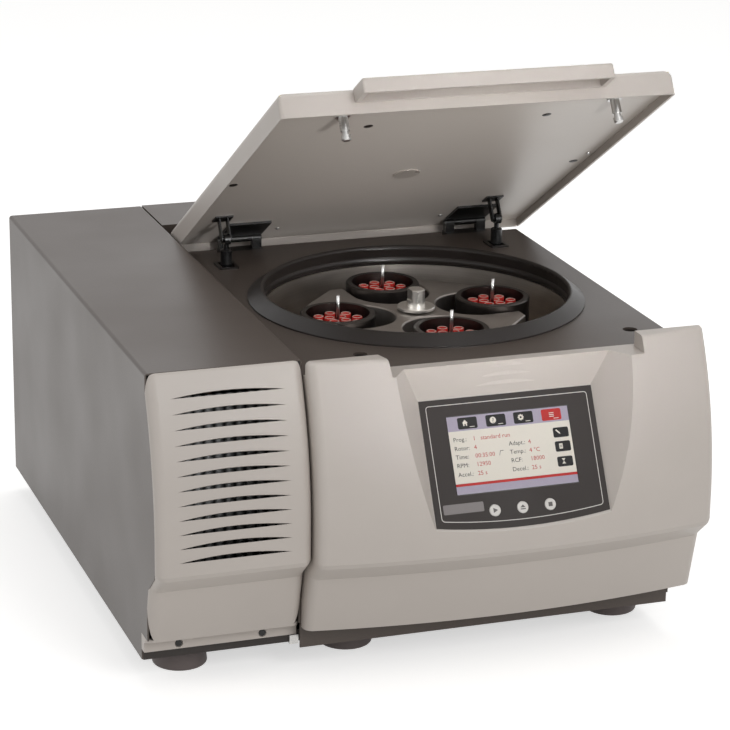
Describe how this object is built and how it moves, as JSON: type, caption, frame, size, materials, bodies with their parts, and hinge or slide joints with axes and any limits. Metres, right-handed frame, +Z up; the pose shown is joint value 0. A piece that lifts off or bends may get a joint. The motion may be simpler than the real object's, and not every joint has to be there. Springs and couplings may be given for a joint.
{
  "type": "refrigerated bench centrifuge",
  "caption": "refrigerated bench centrifuge with its lid held open on gas springs, a swing-out rotor with red tube racks, and a louvred compressor cabinet",
  "frame": {"origin": "on the bench, under the middle of the machine's overall width and depth, lid open", "axes": "+X to the operator's right, +Y to the back, +Z up"},
  "size_m": [0.685, 0.804, 0.6989],
  "materials": {
    "cabinet_paint": "semi-gloss powder coat",
    "moulding_grey": "fine satin moulding",
    "lid_lining": "satin coated sheet",
    "bezel_grey": "smooth dark moulding",
    "screen_glass": "display behind glass",
    "key_grey": "satin key cap",
    "seal_rubber": "soft satin rubber",
    "foot_rubber": "matte rubber",
    "bowl_steel": "spun stainless steel",
    "rotor_black": "black anodised",
    "spindle_steel": "turned steel",
    "rack_red": "moulded red plastic",
    "hardware_steel": "zinc-plated steel",
    "hinge_black": "black coated steel",
    "spring_black": "black enamel",
    "rod_chrome": "ground and plated rod",
    "foam_cream": "rigid foam",
    "copper_pipe": "drawn copper tube",
    "board_green": "circuit board",
    "machine_black": "black enamel",
    "fin_aluminium": "bare aluminium fins",
    "switch_black": "smooth black plastic"
  },
  "bodies": {
    "machine": {"base_plate": "machine_black", "rubber_feet": "foot_rubber", "joining_bracket": "hardware_steel", "compressor_cabinet": "cabinet_paint", "grille_panel": "moulding_grey", "grille_screws": "hardware_steel", "control_fascia": "moulding_grey", "display_bezel": "bezel_grey", "display_module": "screen_glass", "control_board": "board_green", "side_panel": "cabinet_paint", "front_bulkhead": "cabinet_paint", "deck_plate": "cabinet_paint", "rear_cover": "cabinet_paint", "back_panel": "cabinet_paint", "spring_grommets": "seal_rubber", "chamber_seal": "seal_rubber", "chamber_bowl": "bowl_steel", "evaporator_coil": "copper_pipe", "chamber_insulation": "foam_cream", "guard_ring": "machine_black", "motor_mounts": "foot_rubber", "motor_frame": "hardware_steel", "drive_motor": "machine_black", "hinge_bases": "hinge_black", "gas_spring_rods": "rod_chrome", "lid_locks": "machine_black", "compressor": "machine_black", "condenser": "fin_aluminium", "fan_shroud": "machine_black", "refrigerant_pipes": "copper_pipe", "power_board": "board_green", "mains_inlet": "switch_black"},
    "lid": {"lid_shell": "moulding_grey", "lid_inner_plate": "lid_lining", "lid_foam": "foam_cream", "sight_window": "screen_glass", "lid_handle": "moulding_grey", "latch_pins": "hardware_steel", "hinge_leaves": "hinge_black", "spring_clevises": "hinge_black"},
    "rotor": {"drive_shaft": "spindle_steel", "rotor_cross": "rotor_black", "rotor_nut": "spindle_steel"},
    "bucket_1_swing": {"bucket_1": "rotor_black", "tube_rack_1": "rack_red"},
    "bucket_2_swing": {"bucket_2": "rotor_black", "tube_rack_2": "rack_red"},
    "bucket_3_swing": {"bucket_3": "rotor_black", "tube_rack_3": "rack_red"},
    "bucket_4_swing": {"bucket_4": "rotor_black", "tube_rack_4": "rack_red"},
    "start_key_cap": {"start_key": "key_grey"},
    "lid_key_cap": {"lid_key": "key_grey"},
    "stop_key_cap": {"stop_key": "key_grey"},
    "switch_rocker": {"power_switch": "switch_black"},
    "fan": {"condenser_fan": "switch_black"},
    "spring_left": {"gas_spring_cylinder_left": "spring_black"},
    "spring_right": {"gas_spring_cylinder_right": "spring_black"},
    "bolts": {"lock_bolts": "hardware_steel"}
  },
  "joints": [
    {"name": "lid_hinge", "type": "hinge", "parent": "machine", "child": "lid", "pos_m": [0.093, 0.2335, 0.3845], "axis": [-1, 0, 0], "range_deg": [-31.13, 0]},
    {"name": "rotor_spin", "type": "hinge", "parent": "machine", "child": "rotor", "pos_m": [0.076, -0.0595, 0.33], "axis": [0, 0, 1], "continuous": true},
    {"name": "bucket_1_trunnion", "type": "hinge", "parent": "rotor", "child": "bucket_1_swing", "pos_m": [0.18174, -0.05211, 0.33], "axis": [0.0698, -0.9976, 0], "range_deg": [0, 90]},
    {"name": "bucket_2_trunnion", "type": "hinge", "parent": "rotor", "child": "bucket_2_swing", "pos_m": [0.06861, 0.04624, 0.33], "axis": [0.9976, 0.0698, 0], "range_deg": [0, 90]},
    {"name": "bucket_3_trunnion", "type": "hinge", "parent": "rotor", "child": "bucket_3_swing", "pos_m": [-0.02974, -0.06689, 0.33], "axis": [-0.0698, 0.9976, 0], "range_deg": [0, 90]},
    {"name": "bucket_4_trunnion", "type": "hinge", "parent": "rotor", "child": "bucket_4_swing", "pos_m": [0.08339, -0.16524, 0.33], "axis": [-0.9976, -0.0698, 0], "range_deg": [0, 90]},
    {"name": "start_key_press", "type": "slide", "parent": "machine", "child": "start_key_cap", "axis": [0, 0.8829, -0.4695], "range_m": [0, 0.0012], "stiffness_N_per_m": 1500},
    {"name": "lid_key_press", "type": "slide", "parent": "machine", "child": "lid_key_cap", "axis": [0, 0.8829, -0.4695], "range_m": [0, 0.0012], "stiffness_N_per_m": 1500},
    {"name": "stop_key_press", "type": "slide", "parent": "machine", "child": "stop_key_cap", "axis": [0, 0.8829, -0.4695], "range_m": [0, 0.0012], "stiffness_N_per_m": 1500},
    {"name": "power_rocker", "type": "hinge", "parent": "machine", "child": "switch_rocker", "pos_m": [0.275, 0.395, 0.1], "axis": [-1, 0, 0], "range_deg": [0, 14]},
    {"name": "fan_spin", "type": "hinge", "parent": "machine", "child": "fan", "pos_m": [-0.24975, -0.227, 0.193], "axis": [0, 1, 0], "continuous": true},
    {"name": "spring_left_slide", "type": "slide", "parent": "machine", "child": "spring_left", "axis": [0, 0, 1], "range_m": [-0.0498, 0]},
    {"name": "spring_right_slide", "type": "slide", "parent": "machine", "child": "spring_right", "axis": [0, 0, 1], "range_m": [-0.0498, 0]},
    {"name": "bolt_slide", "type": "slide", "parent": "machine", "child": "bolts", "axis": [0, 1, 0], "range_m": [0, 0.012]}
  ],
  "couplings": [
    {"joint": "spring_left_slide", "follows": "lid_hinge", "m_per_rad": 0.091233},
    {"joint": "spring_right_slide", "follows": "lid_hinge", "m_per_rad": 0.091233}
  ]
}
